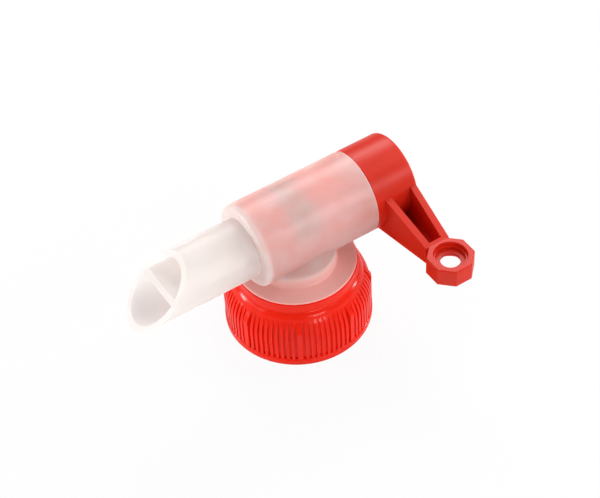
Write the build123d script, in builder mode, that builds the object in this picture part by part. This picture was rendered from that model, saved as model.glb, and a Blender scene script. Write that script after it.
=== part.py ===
"""Jerrycan tap: a translucent tap body, a red turning plug with its lever, a loose screw cap and a gasket.

Millimetres. The origin is the centre of the screw cap's mouth and +Z runs up the cap's axis. The barrel
lies along X with its spout towards -X and the red hub towards +X. The closed lever points to -Y.
"""
import math
import os

from build123d import *

# Barrel and spout of the tap body
barrel_radius = 16.8
barrel_wall = 2.0
barrel_front = -22.0
barrel_mouth = 28.0
barrel_edge_radius = 1.5
barrel_front_wall = 2.0
spout_step = 4.8
spout_wall = 1.8
spout_centre_length = 38.2
spout_cut_angle = 45.0
septum_offset = 1.6
septum_thickness = 1.8

# Deck, skirt and flange of the tap body, which pass through the screw cap
deck_radius = 23.8
deck_thickness = 2.0
deck_overhang = 1.3
deck_lip_thickness = 0.6
deck_edge_radius = 0.25
skirt_wall = 2.0
flange_overhang = 2.6
flange_thickness = 2.0
neck_length = 3.1
neck_step = 1.0
neck_root_fillet = 1.0
neck_wall = 2.0

# Liquid port and air hole between the neck and the barrel
port_centre = -1.0
port_length = 11.0
port_side_margin = 3.8
air_hole_inset = 2.8
air_hole_radius = 1.6
air_nozzle_radius = 3.2
air_nozzle_clearance = 0.7

# Turning plug and hub
plug_clearance = 0.05
plug_wall = 2.15
plug_relief = 0.55
plug_end_gap = 0.5
front_land_length = 3.0
centre_land_margin = 3.5
rear_land_length = 3.5
window_floor_offset = 4.0
hub_gap = 0.3
hub_length = 18.5
hub_end_wall = 2.0
hub_edge_radius = 1.5

# Snap bead and its groove
bead_setback = 7.0
bead_width = 1.6
bead_height = 0.35
bead_side_clearance = 0.3
bead_top_clearance = 0.15

# Stop lug and its slot in the barrel's mouth
turn_angle = 180.0
lever_rest_angle = 180.0
lug_half_angle = 8.5
lug_end_clearance_angle = 1.2
lug_height = 0.9
lug_length = 2.7
lug_clearance = 0.3

# Lever: a channel that narrows to the eye, its root given by angles below and above the hub's middle
lever_setback = 3.4
lever_root_setback = 0.8
lever_tip_width = 10.5
lever_wall = 2.6
lever_floor = 2.2
lever_high_angle = 21.5
lever_low_angle = 53.5

# Eight-sided eye at the lever's end
eye_side_offset = 5.6
eye_distance = 32.6
eye_corner_radius = 9.3
eye_top = 1.7
eye_height = 7.9
eye_edge_radius = 0.5
eye_recess_radius = 6.6
eye_recess_depth = 1.5
eye_step_radius = 5.7
eye_step_depth = 2.8
eye_web = 1.8
eye_hole_radius = 3.9
eye_rim = 0.5

# Screw cap, 51 mm class, with its wall at the thread's root; rises and drops are measured from its seat
cap_seat_height = 19.0
cap_top_rise = 9.8
cap_wall = 2.5
cap_lip_step = 1.2
cap_lip_height = 2.8
cap_lip_edge = 0.8
cap_collar_wall = 1.45
cap_collar_foot_rise = 5.75
cap_collar_edge = 0.35
cap_collar_fillet = 0.9
cap_dome_start_drop = 9.0
cap_dome_shoulder_rise = 3.2
cap_dome_inset = 2.3
cap_hole_clearance = 0.3
thread_clearance = 0.7
seat_clearance = 0.3
collar_play = 0.2

# Grip ribs round the cap, with rises and drops from the cap's seat
wide_rib_count = 8
wide_rib_angle = -121.5
wide_rib_width = 2.0
wide_rib_height = 1.0
wide_rib_shoulder_drop = 1.8
wide_rib_top_rise = 2.6
wide_rib_bulge = 0.35
fine_ribs_per_group = 9
fine_rib_width = 1.15
fine_rib_height = 0.85
fine_rib_shoulder_drop = 7.0
fine_rib_top_rise = 3.2
fine_rib_bulge = 0.85
fine_rib_first_angle = 5.35
rib_end_depth = 0.15

# Gasket under the flange
gasket_seat_width = 3.6
gasket_thickness = 2.0
gasket_thread_gap = 0.2

# Overlap of a join or a cut, so that no two faces only touch
overlap = 1.0

# Heights
cap_height = cap_seat_height + cap_top_rise
cap_collar_foot = cap_seat_height + cap_collar_foot_rise
cap_dome_start = cap_seat_height - cap_dome_start_drop
cap_dome_shoulder = cap_seat_height + cap_dome_shoulder_rise
wide_rib_shoulder = cap_seat_height - wide_rib_shoulder_drop
wide_rib_top = cap_seat_height + wide_rib_top_rise
fine_rib_shoulder = cap_seat_height - fine_rib_shoulder_drop
fine_rib_top = cap_seat_height + fine_rib_top_rise
deck_lip_bottom = cap_height + collar_play
deck_top = deck_lip_bottom + deck_lip_thickness
deck_bottom = deck_top - deck_thickness
barrel_axis_height = deck_top + neck_length + barrel_radius
septum_height = barrel_axis_height + septum_offset
flange_top = cap_seat_height - collar_play
flange_bottom = flange_top - flange_thickness
gasket_bottom = flange_bottom - gasket_thickness
thread_wall_end = gasket_bottom - gasket_thread_gap
air_nozzle_end = gasket_bottom + air_nozzle_clearance

# Radii
bore_radius = barrel_radius - barrel_wall
spout_radius = barrel_radius - spout_step
spout_bore_radius = spout_radius - spout_wall
neck_radius = barrel_radius - neck_step
neck_bore_radius = neck_radius - neck_wall
plug_radius = bore_radius - plug_clearance
plug_bore_radius = plug_radius - plug_wall
relief_radius = plug_radius - plug_relief
bead_radius = plug_radius + bead_height
groove_radius = bead_radius + bead_top_clearance
lug_radius = plug_radius + lug_height
lug_slot_radius = lug_radius + lug_clearance
skirt_radius = deck_radius - deck_overhang
flange_radius = skirt_radius + flange_overhang
gasket_radius = flange_radius
thread_root_radius = flange_radius + thread_clearance
seat_radius = flange_radius + seat_clearance
cap_hole_radius = skirt_radius + cap_hole_clearance
cap_collar_radius = cap_hole_radius + cap_collar_wall
cap_wall_radius = thread_root_radius + cap_wall
cap_lip_radius = cap_wall_radius + cap_lip_step

# Dome of the cap, one arc from the upright wall to its shoulder and a tighter one to the collar's foot
dome_rise = cap_dome_shoulder - cap_dome_start
dome_radius = (cap_dome_inset ** 2 + dome_rise ** 2) / (2 * cap_dome_inset)
rib_root_radius = thread_root_radius + cap_wall / 3

# Places along the barrel
spout_centre_end = barrel_front - spout_centre_length
spout_tip = spout_centre_end - spout_radius / math.tan(math.radians(spout_cut_angle)) - overlap
plug_front = barrel_front + barrel_front_wall + plug_end_gap
window_start = port_centre - port_length / 2
port_width = 2 * (neck_bore_radius - port_side_margin)
air_hole_offset = neck_bore_radius - air_hole_inset
bead_centre = barrel_mouth - bead_setback
groove_half = bead_width / 2 + bead_side_clearance
centre_land_end = (air_hole_offset + air_hole_radius + bead_centre) / 2
rear_land_start = barrel_mouth - rear_land_length
hub_start = barrel_mouth + hub_gap
hub_end = hub_start + hub_length
lever_near_side = hub_start + lever_setback
lever_far_root = hub_end - lever_root_setback
lever_far_tip = lever_near_side + lever_tip_width
eye_centre = lever_near_side + eye_side_offset
eye_reach = barrel_radius + eye_distance

barrel_axis = Axis((0, 0, barrel_axis_height), (1, 0, 0))
barrel_section = Plane((0, 0, barrel_axis_height), x_dir=(1, 0, 0), z_dir=(0, -1, 0))


def around_barrel(angle):
    """Plane through the barrel's axis: local x runs along the axis, local y points out at the angle."""
    turn = math.radians(angle)
    return Plane((0, 0, barrel_axis_height), x_dir=(1, 0, 0), z_dir=(0, -math.sin(turn), math.cos(turn)))


def on_hub(angle):
    """Point of the hub's surface on the lever's side, as (Y, Z), at an angle above the barrel's axis."""
    turn = math.radians(angle)
    return (-barrel_radius * math.cos(turn), barrel_axis_height + barrel_radius * math.sin(turn))


def on_dome(height):
    """Radius of the cap's dome at a height."""
    rise = height - cap_dome_start
    return cap_wall_radius - dome_radius + math.sqrt(dome_radius ** 2 - rise ** 2)


os.makedirs("parts", exist_ok=True)

# Tap body, moulded in one piece
with BuildPart() as tap_body:
    with BuildSketch(Plane.XZ) as deck_face:
        with BuildLine():
            Polyline(
                (skirt_radius - skirt_wall, flange_bottom),
                (flange_radius, flange_bottom),
                (flange_radius, flange_top),
                (skirt_radius, flange_top),
                (skirt_radius, deck_lip_bottom),
                (deck_radius, deck_lip_bottom),
                (deck_radius, deck_top),
                (neck_radius, deck_top),
                (neck_radius, barrel_axis_height),
                (0, barrel_axis_height),
                (0, deck_bottom),
                (skirt_radius - skirt_wall, deck_bottom),
                close=True,
            )
        make_face()
        fillet(deck_face.vertices().sort_by_distance((deck_radius, deck_top, 0))[0], deck_edge_radius)
        fillet(deck_face.vertices().sort_by_distance((neck_radius, deck_top, 0))[0], neck_root_fillet)
    revolve(axis=Axis.Z)
    with BuildSketch(Plane.XY.offset(deck_bottom)):
        Circle(neck_bore_radius)
    extrude(amount=barrel_axis_height - deck_bottom, mode=Mode.SUBTRACT)
    with BuildSketch(Plane.XY.offset(air_nozzle_end)):
        with Locations((air_hole_offset, 0)):
            Circle(air_nozzle_radius)
    extrude(amount=barrel_axis_height - air_nozzle_end)
    with BuildSketch(barrel_section):
        with BuildLine():
            Polyline(
                (spout_tip, 0),
                (spout_tip, spout_radius),
                (barrel_front, spout_radius),
                (barrel_front, barrel_radius),
                (barrel_mouth, barrel_radius),
                (barrel_mouth, 0),
                close=True,
            )
        outline = make_face()
        fillet(outline.vertices().sort_by_distance((barrel_front, barrel_radius, 0))[0], barrel_edge_radius)
    revolve(axis=barrel_axis)
    with BuildSketch(barrel_section):
        with BuildLine():
            Polyline(
                (spout_tip, 0),
                (spout_tip, spout_bore_radius),
                (barrel_front + barrel_front_wall, spout_bore_radius),
                (barrel_front + barrel_front_wall, bore_radius),
                (bead_centre - groove_half, bore_radius),
                (bead_centre - groove_half, groove_radius),
                (bead_centre + groove_half, groove_radius),
                (bead_centre + groove_half, bore_radius),
                (barrel_mouth, bore_radius),
                (barrel_mouth, 0),
                close=True,
            )
        make_face()
    revolve(axis=barrel_axis, mode=Mode.SUBTRACT)
    slot_start = lever_rest_angle - turn_angle - lug_half_angle - lug_end_clearance_angle
    slot_depth = lug_length + lug_clearance
    with BuildSketch(around_barrel(slot_start)):
        with Locations((barrel_mouth - slot_depth / 2, (bore_radius - overlap + lug_slot_radius) / 2)):
            Rectangle(slot_depth, lug_slot_radius - bore_radius + overlap)
    revolve(
        axis=barrel_axis,
        revolution_arc=turn_angle + 2 * (lug_half_angle + lug_end_clearance_angle),
        mode=Mode.SUBTRACT,
    )
    with BuildSketch(Plane.XY.offset(deck_bottom)):
        with Locations((port_centre, 0)):
            RectangleRounded(port_length, port_width, port_length / 4)
    extrude(amount=barrel_axis_height - deck_bottom, mode=Mode.SUBTRACT)
    with BuildSketch(Plane.XY.offset(air_nozzle_end)):
        with Locations((air_hole_offset, 0)):
            Circle(air_hole_radius)
    extrude(amount=barrel_axis_height - air_nozzle_end, mode=Mode.SUBTRACT)
    septum_front = barrel_front + barrel_front_wall
    with BuildSketch(Plane.XY.offset(septum_height - septum_thickness / 2)):
        with Locations(((spout_tip + septum_front) / 2, 0)):
            Rectangle(septum_front - spout_tip, 2 * spout_bore_radius + spout_wall / 2)
    extrude(amount=septum_thickness)
    cut_slope = math.radians(spout_cut_angle)
    split(
        bisect_by=Plane(
            (spout_centre_end, 0, barrel_axis_height),
            x_dir=(0, 1, 0),
            z_dir=(math.sin(cut_slope), 0, -math.cos(cut_slope)),
        ),
        keep=Keep.TOP,
    )
tap_body.part.label = "tap_body"
export_step(tap_body.part, "parts/tap_body.step")

# Lever arm: side view cut to the plan view, then hollowed from above
high_y, high_z = on_hub(lever_high_angle)
low_y, low_z = on_hub(-lever_low_angle)
eye_flat = -eye_reach + eye_corner_radius * math.cos(math.radians(22.5))
eye_top_height = barrel_axis_height + eye_top
eye_bottom_height = eye_top_height - eye_height
channel_top = barrel_axis_height + barrel_radius

with BuildPart() as lever_arm:
    with BuildSketch(Plane.YZ.offset(lever_near_side)):
        with BuildLine():
            Polyline(
                (high_y, high_z),
                (eye_flat - overlap, eye_top_height),
                (eye_flat - overlap, eye_bottom_height),
                (low_y, low_z),
                close=True,
            )
        make_face()
    extrude(amount=lever_far_root - lever_near_side)
    with BuildSketch(Plane.XY.offset(low_z)):
        with BuildLine():
            Polyline(
                (lever_near_side, 0),
                (lever_far_root, 0),
                (lever_far_root, high_y),
                (lever_far_tip, eye_flat - overlap),
                (lever_near_side, eye_flat - overlap),
                close=True,
            )
        make_face()
    extrude(amount=high_z - low_z, mode=Mode.INTERSECT)
    with BuildSketch(Plane.YZ.offset(lever_near_side)):
        with BuildLine():
            Polyline(
                (low_y, channel_top),
                (eye_flat + eye_rim, channel_top),
                (eye_flat + eye_rim, eye_bottom_height + lever_floor),
                (low_y, low_z + lever_floor),
                close=True,
            )
        make_face()
    channel_side = extrude(amount=lever_far_root - lever_near_side, mode=Mode.PRIVATE)
    with BuildSketch(Plane.XY.offset(low_z)):
        with BuildLine():
            Polyline(
                (lever_near_side + lever_wall, 0),
                (lever_far_root - lever_wall, 0),
                (lever_far_root - lever_wall, high_y),
                (lever_far_tip - lever_wall, eye_flat),
                (lever_near_side + lever_wall, eye_flat),
                close=True,
            )
        make_face()
    channel_plan = extrude(amount=channel_top - low_z, mode=Mode.PRIVATE)
    add(channel_side & channel_plan, mode=Mode.SUBTRACT)

# Eye, with a recess from both sides and a thin holed web between
with BuildPart() as lever_eye:
    eye_plane = Plane((eye_centre, -eye_reach, eye_top_height))
    with BuildSketch(eye_plane):
        RegularPolygon(eye_corner_radius, 8, rotation=22.5)
    extrude(amount=-eye_height)
    fillet(lever_eye.edges(), eye_edge_radius)
    with Locations(eye_plane):
        Hole(eye_hole_radius)
        CounterBoreHole(eye_hole_radius, eye_recess_radius, eye_recess_depth)
        CounterBoreHole(eye_hole_radius, eye_step_radius, eye_step_depth)
    with BuildSketch(eye_plane.offset(-eye_height)):
        Circle(eye_recess_radius)
    extrude(amount=eye_height - eye_step_depth - eye_web, mode=Mode.SUBTRACT)

# Turning plug, hub, lever and eye, moulded in one piece
with BuildPart() as lever_plug:
    with BuildSketch(barrel_section):
        with BuildLine():
            Polyline(
                (plug_front, plug_bore_radius),
                (plug_front, plug_radius),
                (plug_front + front_land_length, plug_radius),
                (plug_front + front_land_length, relief_radius),
                (window_start - centre_land_margin, relief_radius),
                (window_start - centre_land_margin, plug_radius),
                (centre_land_end, plug_radius),
                (centre_land_end, relief_radius),
                (bead_centre - bead_width / 2, relief_radius),
                (bead_centre - bead_width / 2, bead_radius),
                (bead_centre + bead_width / 2, bead_radius),
                (bead_centre + bead_width / 2, relief_radius),
                (rear_land_start, relief_radius),
                (rear_land_start, plug_radius),
                (hub_start, plug_radius),
                (hub_start, barrel_radius),
                (hub_end, barrel_radius),
                (hub_end, 0),
                (hub_end - hub_end_wall, 0),
                (hub_end - hub_end_wall, plug_bore_radius),
                close=True,
            )
        section = make_face()
        fillet(section.vertices().sort_by_distance((hub_end, barrel_radius, 0))[0], hub_edge_radius)
    revolve(axis=barrel_axis)
    with BuildSketch(Plane.XY.offset(barrel_axis_height + window_floor_offset)):
        with Locations((port_centre, 0)):
            Rectangle(port_length, 2 * barrel_radius)
    extrude(amount=barrel_radius, mode=Mode.SUBTRACT)
    with BuildSketch(Plane.XY.offset(barrel_axis_height)):
        with Locations((air_hole_offset, 0)):
            Circle(air_hole_radius)
    extrude(amount=barrel_radius, mode=Mode.SUBTRACT)
    with BuildSketch(around_barrel(lever_rest_angle - lug_half_angle)):
        with Locations((hub_start + (overlap - lug_length) / 2, (relief_radius + lug_radius) / 2)):
            Rectangle(lug_length + overlap, lug_radius - relief_radius)
    revolve(axis=barrel_axis, revolution_arc=2 * lug_half_angle)
    add(lever_arm.part)
    add(lever_eye.part)
lever_plug.part.label = "lever_plug"
export_step(lever_plug.part, "parts/lever_plug.step")


def rib(height, width, shoulder, top, bulge):
    """One grip rib at angle 0, upright up to its shoulder and then curving in to the dome at its top."""
    end_radius = on_dome(top) - rib_end_depth
    with BuildPart() as bar:
        with BuildSketch(Plane.XZ):
            with BuildLine():
                Polyline(
                    (end_radius, top),
                    (end_radius - overlap, top),
                    (rib_root_radius, cap_seat_height),
                    (rib_root_radius, cap_lip_height / 2),
                    (cap_wall_radius + height, cap_lip_height / 2),
                    (cap_wall_radius + height, shoulder),
                )
                SagittaArc((cap_wall_radius + height, shoulder), (end_radius, top), -bulge)
            make_face()
        extrude(amount=width / 2, both=True)
    return bar.part


# Screw cap with its ribbed skirt
with BuildPart() as screw_cap:
    with BuildSketch(Plane.XZ) as cap_face:
        with BuildLine():
            Polyline(
                (cap_collar_radius, cap_collar_foot),
                (cap_collar_radius, cap_height),
                (cap_hole_radius, cap_height),
                (cap_hole_radius, cap_seat_height),
                (seat_radius, cap_seat_height),
                (seat_radius, thread_wall_end),
                (thread_root_radius, thread_wall_end),
                (thread_root_radius, 0),
                (cap_lip_radius, 0),
                (cap_lip_radius, cap_lip_height),
                (cap_wall_radius, cap_lip_height),
                (cap_wall_radius, cap_dome_start),
            )
            dome = TangentArc(
                (cap_wall_radius, cap_dome_start),
                (cap_wall_radius - cap_dome_inset, cap_dome_shoulder),
                tangent=(0, 1),
            )
            TangentArc(dome @ 1, (cap_collar_radius, cap_collar_foot), tangent=dome % 1)
        make_face()
        fillet(cap_face.vertices().sort_by_distance((cap_collar_radius, cap_height, 0))[0], cap_collar_edge)
        fillet(
            cap_face.vertices().sort_by_distance((cap_collar_radius, cap_collar_foot, 0))[0],
            cap_collar_fillet,
        )
        fillet(cap_face.vertices().sort_by_distance((cap_lip_radius, cap_lip_height, 0))[0], cap_lip_edge)
    revolve(axis=Axis.Z)
    with PolarLocations(0, wide_rib_count, start_angle=wide_rib_angle):
        add(rib(wide_rib_height, wide_rib_width, wide_rib_shoulder, wide_rib_top, wide_rib_bulge))
    fine_pitch = (360 / wide_rib_count - 2 * fine_rib_first_angle) / (fine_ribs_per_group - 1)
    for step in range(fine_ribs_per_group):
        start = wide_rib_angle + fine_rib_first_angle + step * fine_pitch
        with PolarLocations(0, wide_rib_count, start_angle=start):
            add(rib(fine_rib_height, fine_rib_width, fine_rib_shoulder, fine_rib_top, fine_rib_bulge))
screw_cap.part.label = "screw_cap"
export_step(screw_cap.part, "parts/screw_cap.step")

# Gasket between the flange and the jerrycan's neck
with BuildPart() as neck_gasket:
    with BuildSketch(Plane.XY.offset(gasket_bottom)):
        Circle(gasket_radius)
        Circle(gasket_radius - gasket_seat_width, mode=Mode.SUBTRACT)
    extrude(amount=gasket_thickness)
neck_gasket.part.label = "neck_gasket"
export_step(neck_gasket.part, "parts/neck_gasket.step")
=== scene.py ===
"""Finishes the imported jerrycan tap: moulded plastics, a pale stage, soft lamps and the camera.

Laid out as an add-on and run as a script. Every object is in metres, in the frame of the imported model.
"""
import math

import bpy
from mathutils import Matrix, Vector


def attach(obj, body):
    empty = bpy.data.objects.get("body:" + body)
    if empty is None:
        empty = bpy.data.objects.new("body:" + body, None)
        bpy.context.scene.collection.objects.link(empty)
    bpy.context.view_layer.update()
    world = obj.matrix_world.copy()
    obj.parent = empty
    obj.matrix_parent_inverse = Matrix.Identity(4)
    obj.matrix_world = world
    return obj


bl_info = {
    "name": "Jerrycan Tap",
    "version": (1, 0, 0),
    "blender": (4, 5, 0),
    "location": "3D View > Sidebar > Jerrycan Tap",
    "description": "Finishes a jerrycan tap and sets its stage",
    "category": "Object",
}

MM = 0.001

# Zones of the tap body where its look changes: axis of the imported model, where the change starts and ends
# on it, how much of the zone there is before and after, and the kind of fade
BODY_ZONES = {
    "spout": ("X", -26 * MM, -22.5 * MM, 1.0, 0.0, "LINEAR"),
    "barrel_front": ("X", -21.8 * MM, -18.5 * MM, 1.0, 0.0, "SMOOTHSTEP"),
    "mouth_rim": ("X", 26.9 * MM, 27.8 * MM, 0.0, 0.4, "LINEAR"),
    "neck_and_deck": ("Z", 33 * MM, 37 * MM, 1.0, 0.0, "SMOOTHSTEP"),
    # This zone marks where the body gets a painted pink glow that stands in for the red cap's light coming
    # through the neck and deck
    "painted_pink_near_cap": ("Z", 29.5 * MM, 36 * MM, 1.0, 0.0, "SMOOTHSTEP"),
}

# Share of the light that scatters through the body's wall, and share that keeps its way through it
SCATTERED_WHERE_THIN = 0.7
SCATTERED_WHERE_THICK = 0.25
CLEAR_WHERE_THIN = 0.25
CLEAR_WHERE_THICK = 0.06

# Finish of the two red plastics, and how both change across a face
SATIN_RED = {"roughness": 0.36, "gloss": 0.3, "depth": 0.015 * MM}
GLOSS_RED = {"roughness": 0.18, "gloss": 0.24, "depth": 0.006 * MM}
ROUGHNESS_CHANGE = 0.04
COLOUR_WHERE_DENSE = 0.94

# Share of the floor that is plain white to the eye and in the plastic's gloss, and how strong that white
# is in the gloss
FLOOR_WHITE = 0.92
FLOOR_IN_GLOSS = 0.6

# Lamps: name, degrees round from the front, degrees up, distance, width and height in metres, and watts
LAMP_AIM = Vector((0, 0, 30 * MM))
LAMPS = (
    ("top_softbox", -35, 76, 0.77, 0.5, 0.5, 0.1),
    ("front_softbox", -3, 11, 0.70, 0.26, 0.08, 0.7),
    ("right_softbox", 69, 8, 0.70, 0.09, 0.14, 0.8),
    ("side_softbox", 85, 48, 0.75, 0.5, 0.5, 1.5),
    ("wide_softbox", -100, 18, 0.75, 0.4, 0.3, 0.8),
    ("left_softbox", -122, 6, 0.70, 0.12, 0.14, 1.6),
    ("back_softbox", 145, 42, 0.70, 0.40, 0.25, 2.1),
    ("fill_softbox", 30, 33, 0.70, 0.18, 0.14, 0.75),
)

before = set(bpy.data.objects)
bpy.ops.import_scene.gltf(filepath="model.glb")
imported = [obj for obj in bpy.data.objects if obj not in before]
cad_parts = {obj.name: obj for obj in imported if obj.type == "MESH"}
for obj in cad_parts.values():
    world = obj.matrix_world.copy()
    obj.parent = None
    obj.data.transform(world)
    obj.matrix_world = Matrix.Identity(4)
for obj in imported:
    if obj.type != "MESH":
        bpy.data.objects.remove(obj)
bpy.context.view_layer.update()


def linear(code):
    """An sRGB hex code as the linear colour that a shader takes."""
    parts = [int(code[i:i + 2], 16) / 255 for i in (1, 3, 5)]
    return [p / 12.92 if p <= 0.04045 else ((p + 0.055) / 1.055) ** 2.4 for p in parts] + [1.0]


def add(tree, kind, inputs=None, **settings):
    """Adds a node, sets its properties, then sets each input or links it to a socket."""
    node = tree.nodes.new(kind)
    for name, value in settings.items():
        setattr(node, name, value)
    for name, value in (inputs or {}).items():
        if isinstance(value, bpy.types.NodeSocket):
            tree.links.new(value, node.inputs[name])
        else:
            node.inputs[name].default_value = value
    return node


def new_material(name):
    """An empty node material and its tree."""
    material = bpy.data.materials.new(name)
    material.use_nodes = True
    material.node_tree.nodes.clear()
    return material, material.node_tree


class TapColours(bpy.types.PropertyGroup):
    """Colours and grain of the tap's plastics."""

    natural: bpy.props.StringProperty(
        name="Natural plastic", description="Milky colour of the unpigmented body", default="#F4F2F1")
    natural_denser: bpy.props.StringProperty(
        name="Denser natural", description="The same plastic where its clouds are denser", default="#F2EFED")
    natural_gloss: bpy.props.StringProperty(
        name="Natural gloss", description="Grey that sets how strong the body's gloss is", default="#484848")
    # Painted glow: a pink that stands in for the plug's red light scattered through the barrel's wall
    painted_plug_pink: bpy.props.StringProperty(
        name="Plug glow", description="Pink that the plug gives the barrel's wall", default="#F4DDD6")
    # Painted glow: a pink that stands in for the red cap's light coming through the deck, and lightens the
    # deck
    painted_deck_pink: bpy.props.StringProperty(
        name="Deck glow", description="Pink that the red cap gives the deck", default="#FFCAC2")
    plug_red: bpy.props.StringProperty(
        name="Plug red", description="Red of the turning plug and lever", default="#DC2A12")
    cap_red: bpy.props.StringProperty(
        name="Cap red", description="Red of the screw cap", default="#FC260F")
    foam: bpy.props.StringProperty(
        name="Foam", description="Off-white of the gasket", default="#EDEBE6")
    grain: bpy.props.FloatProperty(
        name="Mould grain", description="Width of the satin mould texture",
        default=0.35 * MM, unit="LENGTH", precision=5)
    clouding: bpy.props.FloatProperty(
        name="Clouding", description="Width of the milky flow marks in the body",
        default=9 * MM, unit="LENGTH", precision=4)
    flow_marks: bpy.props.FloatProperty(
        name="Flow marks", description="Width of the flow marks in the red plastics",
        default=14 * MM, unit="LENGTH", precision=4)
    foam_cell: bpy.props.FloatProperty(
        name="Foam cell", description="Width of a cell in the gasket's foam",
        default=0.6 * MM, unit="LENGTH", precision=5)


class CapThread(bpy.types.PropertyGroup):
    """Sizes of the ridge that winds round inside the screw cap."""

    root_radius: bpy.props.FloatProperty(
        name="Root radius", description="Radius of the cap's wall",
        default=25.8 * MM, unit="LENGTH", precision=5)
    depth: bpy.props.FloatProperty(
        name="Depth", description="Height of the ridge off the wall",
        default=1.2 * MM, unit="LENGTH", precision=5)
    sink: bpy.props.FloatProperty(
        name="Sink", description="How far the ridge's foot lies in the wall",
        default=0.3 * MM, unit="LENGTH", precision=5)
    foot: bpy.props.FloatProperty(
        name="Foot", description="Width at the foot", default=2.6 * MM, unit="LENGTH", precision=5)
    crest: bpy.props.FloatProperty(
        name="Crest", description="Width at the crest", default=1.1 * MM, unit="LENGTH", precision=5)
    pitch: bpy.props.FloatProperty(
        name="Pitch", description="Rise in one turn", default=4.5 * MM, unit="LENGTH", precision=5)
    turns: bpy.props.FloatProperty(name="Turns", description="Number of turns", default=2.15)
    start: bpy.props.FloatProperty(
        name="Start", description="Height of the ridge's middle at the mouth",
        default=3.2 * MM, unit="LENGTH", precision=5)
    edge: bpy.props.FloatProperty(
        name="Edge", description="Width of the bevel on the ridge's edges",
        default=0.25 * MM, unit="LENGTH", precision=5)
    steps: bpy.props.IntProperty(
        name="Steps", description="Number of steps that the ridge takes in one turn", default=96)


class TapStage(bpy.types.PropertyGroup):
    """Camera, lamps and floor."""

    azimuth: bpy.props.FloatProperty(
        name="Azimuth", description="Camera's turn about the tap",
        default=math.radians(-30.66), subtype="ANGLE")
    elevation: bpy.props.FloatProperty(
        name="Elevation", description="Camera's height angle",
        default=math.radians(47.06), subtype="ANGLE")
    roll: bpy.props.FloatProperty(
        name="Roll", description="Camera's tilt about its own axis",
        default=math.radians(-3.71), subtype="ANGLE")
    distance: bpy.props.FloatProperty(
        name="Distance", description="Camera to the tap", default=648.3 * MM, unit="LENGTH")
    lens: bpy.props.FloatProperty(
        name="Lens", description="Focal length in millimetres", default=99.1)
    target_height: bpy.props.FloatProperty(
        name="Aim height", description="Height on the cap's axis that the aim starts from",
        default=20 * MM, unit="LENGTH")
    aim_right: bpy.props.FloatProperty(
        name="Aim right", description="Aim moved to the picture's right", default=1.34 * MM, unit="LENGTH")
    aim_up: bpy.props.FloatProperty(
        name="Aim up", description="Aim moved up the picture", default=9.85 * MM, unit="LENGTH")
    floor_size: bpy.props.FloatProperty(
        name="Floor", description="Side of the floor", default=6.0, unit="LENGTH")
    paper: bpy.props.StringProperty(
        name="Paper", description="White of the floor's paper where it takes shadow", default="#F6F6F6")
    surroundings: bpy.props.StringProperty(
        name="Surroundings", description="White of the even light all round", default="#FDFDFD")
    ambient: bpy.props.FloatProperty(
        name="Ambient", description="Strength of the even light from the sides", default=0.65)
    ambient_above: bpy.props.FloatProperty(
        name="Ambient above", description="Strength of the even light from above", default=0.3)
    gloss_ambient: bpy.props.FloatProperty(
        name="Gloss ambient", description="Strength of the surroundings in the plastic's gloss", default=0.06)


def mould_bump(tree, place, grain, depth):
    """Satin texture left by a spark-eroded mould, as a normal socket."""
    noise = add(tree, "ShaderNodeTexNoise", {
        "Vector": place, "Scale": 1 / grain, "Detail": 3.0, "Roughness": 0.6})
    bump = add(tree, "ShaderNodeBump", {
        "Height": noise.outputs["Fac"], "Strength": 0.35, "Distance": depth})
    return bump.outputs["Normal"]


def zone_masks(tree, place):
    """How much of each of the body's zones there is at a place, as sockets by the zone's name."""
    split = add(tree, "ShaderNodeSeparateXYZ", {"Vector": place})
    masks = {}
    for zone, (axis, start, end, before, after, fade) in BODY_ZONES.items():
        mask = add(tree, "ShaderNodeMapRange", {
            "Value": split.outputs[axis],
            "From Min": start,
            "From Max": end,
            "To Min": before,
            "To Max": after,
        }, interpolation_type=fade)
        masks[zone] = mask.outputs["Result"]
    return masks


def colour_with_painted_pink(tree, place, zones, colours):
    """The body's colour as a socket: milky, with painted pink glow in cloudy blotches over the plug and
    painted pink glow over the red cap.
    """
    clouds = add(tree, "ShaderNodeTexNoise", {
        "Vector": place, "Scale": 1 / colours.clouding, "Detail": 2.0})
    milk = add(tree, "ShaderNodeMix", {
        "Factor": clouds.outputs["Fac"],
        "A": linear(colours.natural),
        "B": linear(colours.natural_denser),
    }, data_type="RGBA")
    # Painted glow: cloud-shaped pink blotches on the barrel stand in for the plug's red light scattered in
    # the wall
    painted_pink_spread = add(tree, "ShaderNodeMapRange", {
        "Value": clouds.outputs["Fac"], "From Min": 0.25, "From Max": 0.75})
    barrel_painted_pink = add(tree, "ShaderNodeMix", {
        "Factor": painted_pink_spread.outputs["Result"],
        "A": linear(colours.painted_plug_pink),
        "B": linear(colours.natural),
    }, data_type="RGBA")
    barrel_and_spout = add(tree, "ShaderNodeMix", {
        "Factor": zones["spout"],
        "A": barrel_painted_pink.outputs["Result"],
        "B": milk.outputs["Result"],
    }, data_type="RGBA")
    # Painted glow: pink low on the neck and deck stands in for the red cap's light carried through them
    tint = add(tree, "ShaderNodeMix", {
        "Factor": zones["painted_pink_near_cap"],
        "A": barrel_and_spout.outputs["Result"],
        "B": linear(colours.painted_deck_pink),
    }, data_type="RGBA")
    return tint.outputs["Result"]


def wall_thickness(tree, zones):
    """From 0 to 1, how far the body is so thick that its milk hides what is behind, as a socket."""
    front = add(tree, "ShaderNodeMath", {
        0: zones["barrel_front"], 1: zones["spout"]}, operation="SUBTRACT", use_clamp=True)
    barrel = add(tree, "ShaderNodeMath", {
        0: front.outputs["Value"], 1: zones["mouth_rim"]}, operation="MAXIMUM")
    thick = add(tree, "ShaderNodeMath", {
        0: barrel.outputs["Value"], 1: zones["neck_and_deck"]}, operation="MAXIMUM")
    return thick.outputs["Value"]


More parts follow.
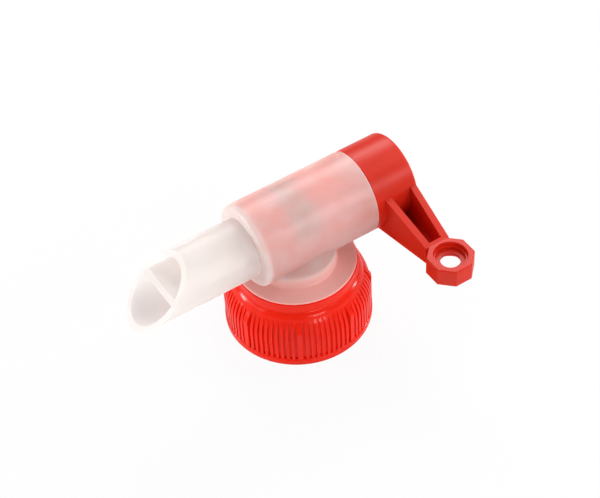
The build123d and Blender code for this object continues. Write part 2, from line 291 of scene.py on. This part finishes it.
def natural_hdpe(colours):
    """Natural high-density polyethylene, injection moulded: milky, lets light and blurred colour through."""
    material, tree = new_material("natural_hdpe_moulded")
    place = add(tree, "ShaderNodeTexCoord").outputs["Object"]
    zones = zone_masks(tree, place)
    # The body's colour includes painted pink glow from the plug and from the red cap
    tint = colour_with_painted_pink(tree, place, zones, colours)
    thickness = wall_thickness(tree, zones)
    grain = mould_bump(tree, place, colours.grain, 0.02 * MM)
    # The wall's milky skin
    skin = add(tree, "ShaderNodeBsdfPrincipled", {
        "Base Color": tint, "Roughness": 0.5, "IOR": 1.54, "Specular IOR Level": 0.0, "Normal": grain})
    # Light that scatters right through the wall
    glow = add(tree, "ShaderNodeBsdfTranslucent", {"Color": tint, "Normal": grain})
    scattered = add(tree, "ShaderNodeMapRange", {
        "Value": thickness, "To Min": SCATTERED_WHERE_THIN, "To Max": SCATTERED_WHERE_THICK})
    milky = add(tree, "ShaderNodeMixShader", {
        "Fac": scattered.outputs["Result"], 1: skin.outputs["BSDF"], 2: glow.outputs["BSDF"]})
    # Light that keeps its way and shows what lies close behind, blurred but hardly bent
    clear = add(tree, "ShaderNodeBsdfGlass", {"Color": tint, "Roughness": 0.75, "IOR": 1.15, "Normal": grain})
    seen_through = add(tree, "ShaderNodeMapRange", {
        "Value": thickness, "To Min": CLEAR_WHERE_THIN, "To Max": CLEAR_WHERE_THICK})
    wall = add(tree, "ShaderNodeMixShader", {
        "Fac": seen_through.outputs["Result"], 1: milky.outputs["Shader"], 2: clear.outputs["BSDF"]})
    # Satin gloss that the mould leaves on all of it
    gloss = add(tree, "ShaderNodeBsdfGlossy", {
        "Color": linear(colours.natural_gloss), "Roughness": 0.4, "Normal": grain})
    satin = add(tree, "ShaderNodeAddShader", {0: wall.outputs["Shader"], 1: gloss.outputs["BSDF"]})
    add(tree, "ShaderNodeOutputMaterial", {"Surface": satin.outputs["Shader"]})
    return material


def red_polyethylene(name, colour, colours, roughness, gloss, depth):
    """Red pigmented polyethylene, injection moulded: dense colour with a soft sheen and a little glow."""
    material, tree = new_material(name)
    place = add(tree, "ShaderNodeTexCoord").outputs["Object"]
    clouds = add(tree, "ShaderNodeTexNoise", {
        "Vector": place, "Scale": 1 / colours.flow_marks, "Detail": 2.0})
    sheen = add(tree, "ShaderNodeMapRange", {
        "Value": clouds.outputs["Fac"],
        "To Min": roughness - ROUGHNESS_CHANGE,
        "To Max": roughness + ROUGHNESS_CHANGE,
    })
    # Flow marks, where the pigment lies a little denser
    marks = add(tree, "ShaderNodeMapRange", {
        "Value": clouds.outputs["Fac"], "From Min": 0.35, "From Max": 0.65})
    dense = [COLOUR_WHERE_DENSE * part for part in linear(colour)[:3]] + [1.0]
    pigment = add(tree, "ShaderNodeMix", {
        "Factor": marks.outputs["Result"], "A": linear(colour), "B": dense}, data_type="RGBA")
    shader = add(tree, "ShaderNodeBsdfPrincipled", {
        "Base Color": pigment.outputs["Result"],
        "Roughness": sheen.outputs["Result"],
        "IOR": 1.5,
        "Specular IOR Level": gloss,
        "Subsurface Weight": 0.35,
        "Subsurface Radius": (1.0, 0.25, 0.15),
        "Subsurface Scale": 1.5 * MM,
        "Normal": mould_bump(tree, place, colours.grain, depth),
    })
    add(tree, "ShaderNodeOutputMaterial", {"Surface": shader.outputs["BSDF"]})
    return material


def foam_material(colours):
    """Closed-cell polyethylene foam, die cut: dull off-white with fine cells."""
    material, tree = new_material("pe_foam_die_cut")
    place = add(tree, "ShaderNodeTexCoord").outputs["Object"]
    cells = add(tree, "ShaderNodeTexVoronoi", {"Vector": place, "Scale": 1 / colours.foam_cell})
    bump = add(tree, "ShaderNodeBump", {
        "Height": cells.outputs["Distance"], "Strength": 0.5, "Distance": 0.1 * MM})
    shader = add(tree, "ShaderNodeBsdfPrincipled", {
        "Base Color": linear(colours.foam), "Roughness": 0.8, "IOR": 1.45, "Normal": bump.outputs["Normal"]})
    add(tree, "ShaderNodeOutputMaterial", {"Surface": shader.outputs["BSDF"]})
    return material


def dress(node, material):
    """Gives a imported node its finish."""
    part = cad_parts[node]
    part.data.materials.clear()
    part.data.materials.append(material)


class TAP_OT_body(bpy.types.Operator):
    """Finish the translucent tap body"""

    bl_idname = "tap.body"
    bl_label = "Tap body"

    def execute(self, context):
        dress("tap_body", natural_hdpe(context.scene.tap_colours))
        return {"FINISHED"}


class TAP_OT_plug(bpy.types.Operator):
    """Finish the red turning plug with its lever"""

    bl_idname = "tap.plug"
    bl_label = "Plug and lever"

    def execute(self, context):
        colours = context.scene.tap_colours
        dress("lever_plug", red_polyethylene("red_pe_satin_moulded", colours.plug_red, colours, **SATIN_RED))
        return {"FINISHED"}


class TAP_OT_cap(bpy.types.Operator):
    """Finish the red screw cap"""

    bl_idname = "tap.cap"
    bl_label = "Screw cap"

    def execute(self, context):
        colours = context.scene.tap_colours
        dress("screw_cap", red_polyethylene("red_pe_gloss_moulded", colours.cap_red, colours, **GLOSS_RED))
        return {"FINISHED"}


def apply_modifier(piece, kind, **settings):
    """Adds a modifier to the active piece with its settings and applies it."""
    modifier = piece.modifiers.new(kind.lower(), kind)
    for name, value in settings.items():
        setattr(modifier, name, value)
    bpy.ops.object.modifier_apply(modifier=modifier.name)


class TAP_OT_thread(bpy.types.Operator):
    """Wind the thread's ridge round the inside of the screw cap"""

    bl_idname = "tap.thread"
    bl_label = "Cap thread"

    def execute(self, context):
        size = context.scene.cap_thread
        colours = context.scene.tap_colours
        bpy.ops.object.select_all(action="DESELECT")
        bpy.ops.mesh.primitive_plane_add(size=1, location=(0, 0, 0))
        ridge = context.object
        ridge.name = "cap_thread_ridge"
        bpy.ops.object.mode_set(mode="EDIT")
        bpy.ops.mesh.select_all(action="SELECT")
        bpy.ops.transform.rotate(value=math.pi / 2, orient_axis="X", center_override=(0, 0, 0))
        bpy.ops.transform.resize(value=(size.depth + size.sink, 1, size.foot), center_override=(0, 0, 0))
        middle = size.root_radius + (size.sink - size.depth) / 2
        bpy.ops.transform.translate(value=(middle, 0, size.start))
        bpy.ops.object.mode_set(mode="OBJECT")
        for vertex in ridge.data.vertices:
            vertex.select = vertex.co.x < middle
        bpy.ops.object.mode_set(mode="EDIT")
        bpy.ops.mesh.select_mode(type="VERT")
        bpy.ops.transform.resize(value=(1, 1, size.crest / size.foot), center_override=(0, 0, size.start))
        bpy.ops.object.mode_set(mode="OBJECT")
        steps = round(size.steps * size.turns)
        apply_modifier(
            ridge, "SCREW", axis="Z", angle=math.tau * size.turns, screw_offset=size.pitch * size.turns,
            steps=steps, render_steps=steps, use_merge_vertices=False)
        bpy.ops.object.mode_set(mode="EDIT")
        bpy.ops.mesh.select_all(action="DESELECT")
        bpy.ops.mesh.select_non_manifold()
        bpy.ops.mesh.fill_holes(sides=4)
        bpy.ops.mesh.select_all(action="SELECT")
        bpy.ops.mesh.normals_make_consistent(inside=False)
        bpy.ops.object.mode_set(mode="OBJECT")
        apply_modifier(ridge, "BEVEL", width=size.edge, segments=2, limit_method="ANGLE")
        bpy.ops.object.shade_smooth_by_angle(angle=math.radians(35))
        ridge.data.materials.append(red_polyethylene(
            "red_pe_gloss_moulded_thread", colours.cap_red, colours, **GLOSS_RED))
        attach(ridge, "cap")
        return {"FINISHED"}


class TAP_OT_gasket(bpy.types.Operator):
    """Finish the foam gasket"""

    bl_idname = "tap.gasket"
    bl_label = "Gasket"

    def execute(self, context):
        dress("neck_gasket", foam_material(context.scene.tap_colours))
        return {"FINISHED"}


def direction(turn, rise):
    """Unit vector at an angle round from the front and an angle up from the floor."""
    return Vector((math.sin(turn) * math.cos(rise), -math.cos(turn) * math.cos(rise), math.sin(rise)))


def softbox(name, azimuth, elevation, distance, width, height, power):
    """A soft lamp aimed at the tap, placed by degrees round it from the front and up from the floor."""
    away = direction(math.radians(azimuth), math.radians(elevation))
    data = bpy.data.lights.new(name, "AREA")
    data.shape = "RECTANGLE"
    data.size = width
    data.size_y = height
    data.energy = power
    lamp = bpy.data.objects.new(name, data)
    lamp.visible_camera = False
    bpy.context.scene.collection.objects.link(lamp)
    facing = away.to_track_quat("Z", "Y").to_matrix().to_4x4()
    lamp.matrix_world = Matrix.Translation(LAMP_AIM + distance * away) @ facing


def floor_material(stage):
    """Matt white paper sweep: white to the eye with the tap's soft shadow kept, dimmer in the gloss."""
    material, tree = new_material("white_paper_sweep")
    path = add(tree, "ShaderNodeLightPath")
    seen = add(tree, "ShaderNodeMath", {
        0: path.outputs["Is Camera Ray"], 1: path.outputs["Is Glossy Ray"]}, operation="MAXIMUM")
    share = add(tree, "ShaderNodeMath", {0: seen.outputs["Value"], 1: FLOOR_WHITE}, operation="MULTIPLY")
    paper = add(tree, "ShaderNodeBsdfDiffuse", {"Color": linear(stage.paper)})
    strength = add(tree, "ShaderNodeMapRange", {
        "Value": path.outputs["Is Glossy Ray"], "To Min": 1.0, "To Max": FLOOR_IN_GLOSS})
    white = add(tree, "ShaderNodeEmission", {
        "Color": linear("#FFFFFF"), "Strength": strength.outputs["Result"]})
    mix = add(tree, "ShaderNodeMixShader", {
        "Fac": share.outputs["Value"], 1: paper.outputs["BSDF"], 2: white.outputs["Emission"]})
    add(tree, "ShaderNodeOutputMaterial", {"Surface": mix.outputs["Shader"]})
    return material


def studio_world(stage):
    """Even surroundings: full white to the eye, a soft light on the tap, and dim in the plastic's gloss."""
    world = bpy.data.worlds.new("studio")
    world.use_nodes = True
    tree = world.node_tree
    tree.nodes.clear()
    path = add(tree, "ShaderNodeLightPath")
    seen = add(tree, "ShaderNodeMath", {
        0: path.outputs["Is Camera Ray"], 1: path.outputs["Is Transmission Ray"]}, operation="MAXIMUM")
    way = add(tree, "ShaderNodeTexCoord")
    height = add(tree, "ShaderNodeSeparateXYZ", {"Vector": way.outputs["Generated"]})
    soft = add(tree, "ShaderNodeMapRange", {
        "Value": height.outputs["Z"], "To Min": stage.ambient, "To Max": stage.ambient_above})
    gloss = add(tree, "ShaderNodeMapRange", {
        "Value": path.outputs["Is Glossy Ray"],
        "To Min": soft.outputs["Result"],
        "To Max": stage.gloss_ambient,
    })
    level = add(tree, "ShaderNodeMapRange", {
        "Value": seen.outputs["Value"], "To Min": gloss.outputs["Result"], "To Max": 1.0})
    light = add(tree, "ShaderNodeBackground", {
        "Color": linear(stage.surroundings), "Strength": level.outputs["Result"]})
    add(tree, "ShaderNodeOutputWorld", {"Surface": light.outputs["Background"]})
    bpy.context.scene.world = world


def place_camera(stage):
    """The camera at the photograph's viewing angle."""
    back = direction(stage.azimuth, stage.elevation)
    right = Vector((math.cos(stage.azimuth), math.sin(stage.azimuth), 0))
    up = back.cross(right)
    tilted_right = math.cos(stage.roll) * right + math.sin(stage.roll) * up
    tilted_up = -math.sin(stage.roll) * right + math.cos(stage.roll) * up
    target = Vector((0, 0, stage.target_height)) + stage.aim_right * tilted_right + stage.aim_up * tilted_up
    data = bpy.data.cameras.new("camera")
    data.lens = stage.lens
    data.sensor_width = 36
    data.sensor_fit = "HORIZONTAL"
    data.clip_start = 0.01
    camera = bpy.data.objects.new("camera", data)
    bpy.context.scene.collection.objects.link(camera)
    axes = Matrix((tilted_right, tilted_up, back)).transposed().to_4x4()
    camera.matrix_world = Matrix.Translation(target + stage.distance * back) @ axes
    bpy.context.scene.camera = camera


class TAP_OT_stage(bpy.types.Operator):
    """Set the floor, lamps and camera"""

    bl_idname = "tap.stage"
    bl_label = "Stage"

    def execute(self, context):
        stage = context.scene.tap_stage
        bpy.ops.object.select_all(action="DESELECT")
        bpy.ops.mesh.primitive_plane_add(size=stage.floor_size, location=(0, 0, 0))
        floor = context.object
        floor.name = "floor"
        floor.data.materials.append(floor_material(stage))
        studio_world(stage)
        for lamp in LAMPS:
            softbox(*lamp)
        place_camera(stage)
        context.scene.view_settings.view_transform = "Standard"
        return {"FINISHED"}


class TAP_PT_panel(bpy.types.Panel):
    """Lists the tap's steps in the sidebar"""

    bl_idname = "TAP_PT_panel"
    bl_label = "Jerrycan Tap"
    bl_space_type = "VIEW_3D"
    bl_region_type = "UI"
    bl_category = "Jerrycan Tap"

    def draw(self, context):
        for group in (context.scene.tap_colours, context.scene.cap_thread, context.scene.tap_stage):
            for name in group.__annotations__:
                self.layout.prop(group, name)
        for step in OPERATORS:
            self.layout.operator(step.bl_idname)


OPERATORS = (TAP_OT_body, TAP_OT_plug, TAP_OT_cap, TAP_OT_thread, TAP_OT_gasket, TAP_OT_stage)
CLASSES = (TapColours, CapThread, TapStage, *OPERATORS, TAP_PT_panel)


def register():
    for each in CLASSES:
        bpy.utils.register_class(each)
    bpy.types.Scene.tap_colours = bpy.props.PointerProperty(type=TapColours)
    bpy.types.Scene.cap_thread = bpy.props.PointerProperty(type=CapThread)
    bpy.types.Scene.tap_stage = bpy.props.PointerProperty(type=TapStage)


def unregister():
    del bpy.types.Scene.tap_stage
    del bpy.types.Scene.cap_thread
    del bpy.types.Scene.tap_colours
    for each in reversed(CLASSES):
        bpy.utils.unregister_class(each)


def main():
    register()
    bpy.ops.tap.body()
    bpy.ops.tap.plug()
    bpy.ops.tap.cap()
    bpy.ops.tap.thread()
    bpy.ops.tap.gasket()
    bpy.ops.tap.stage()


if __name__ == "__main__":
    main()
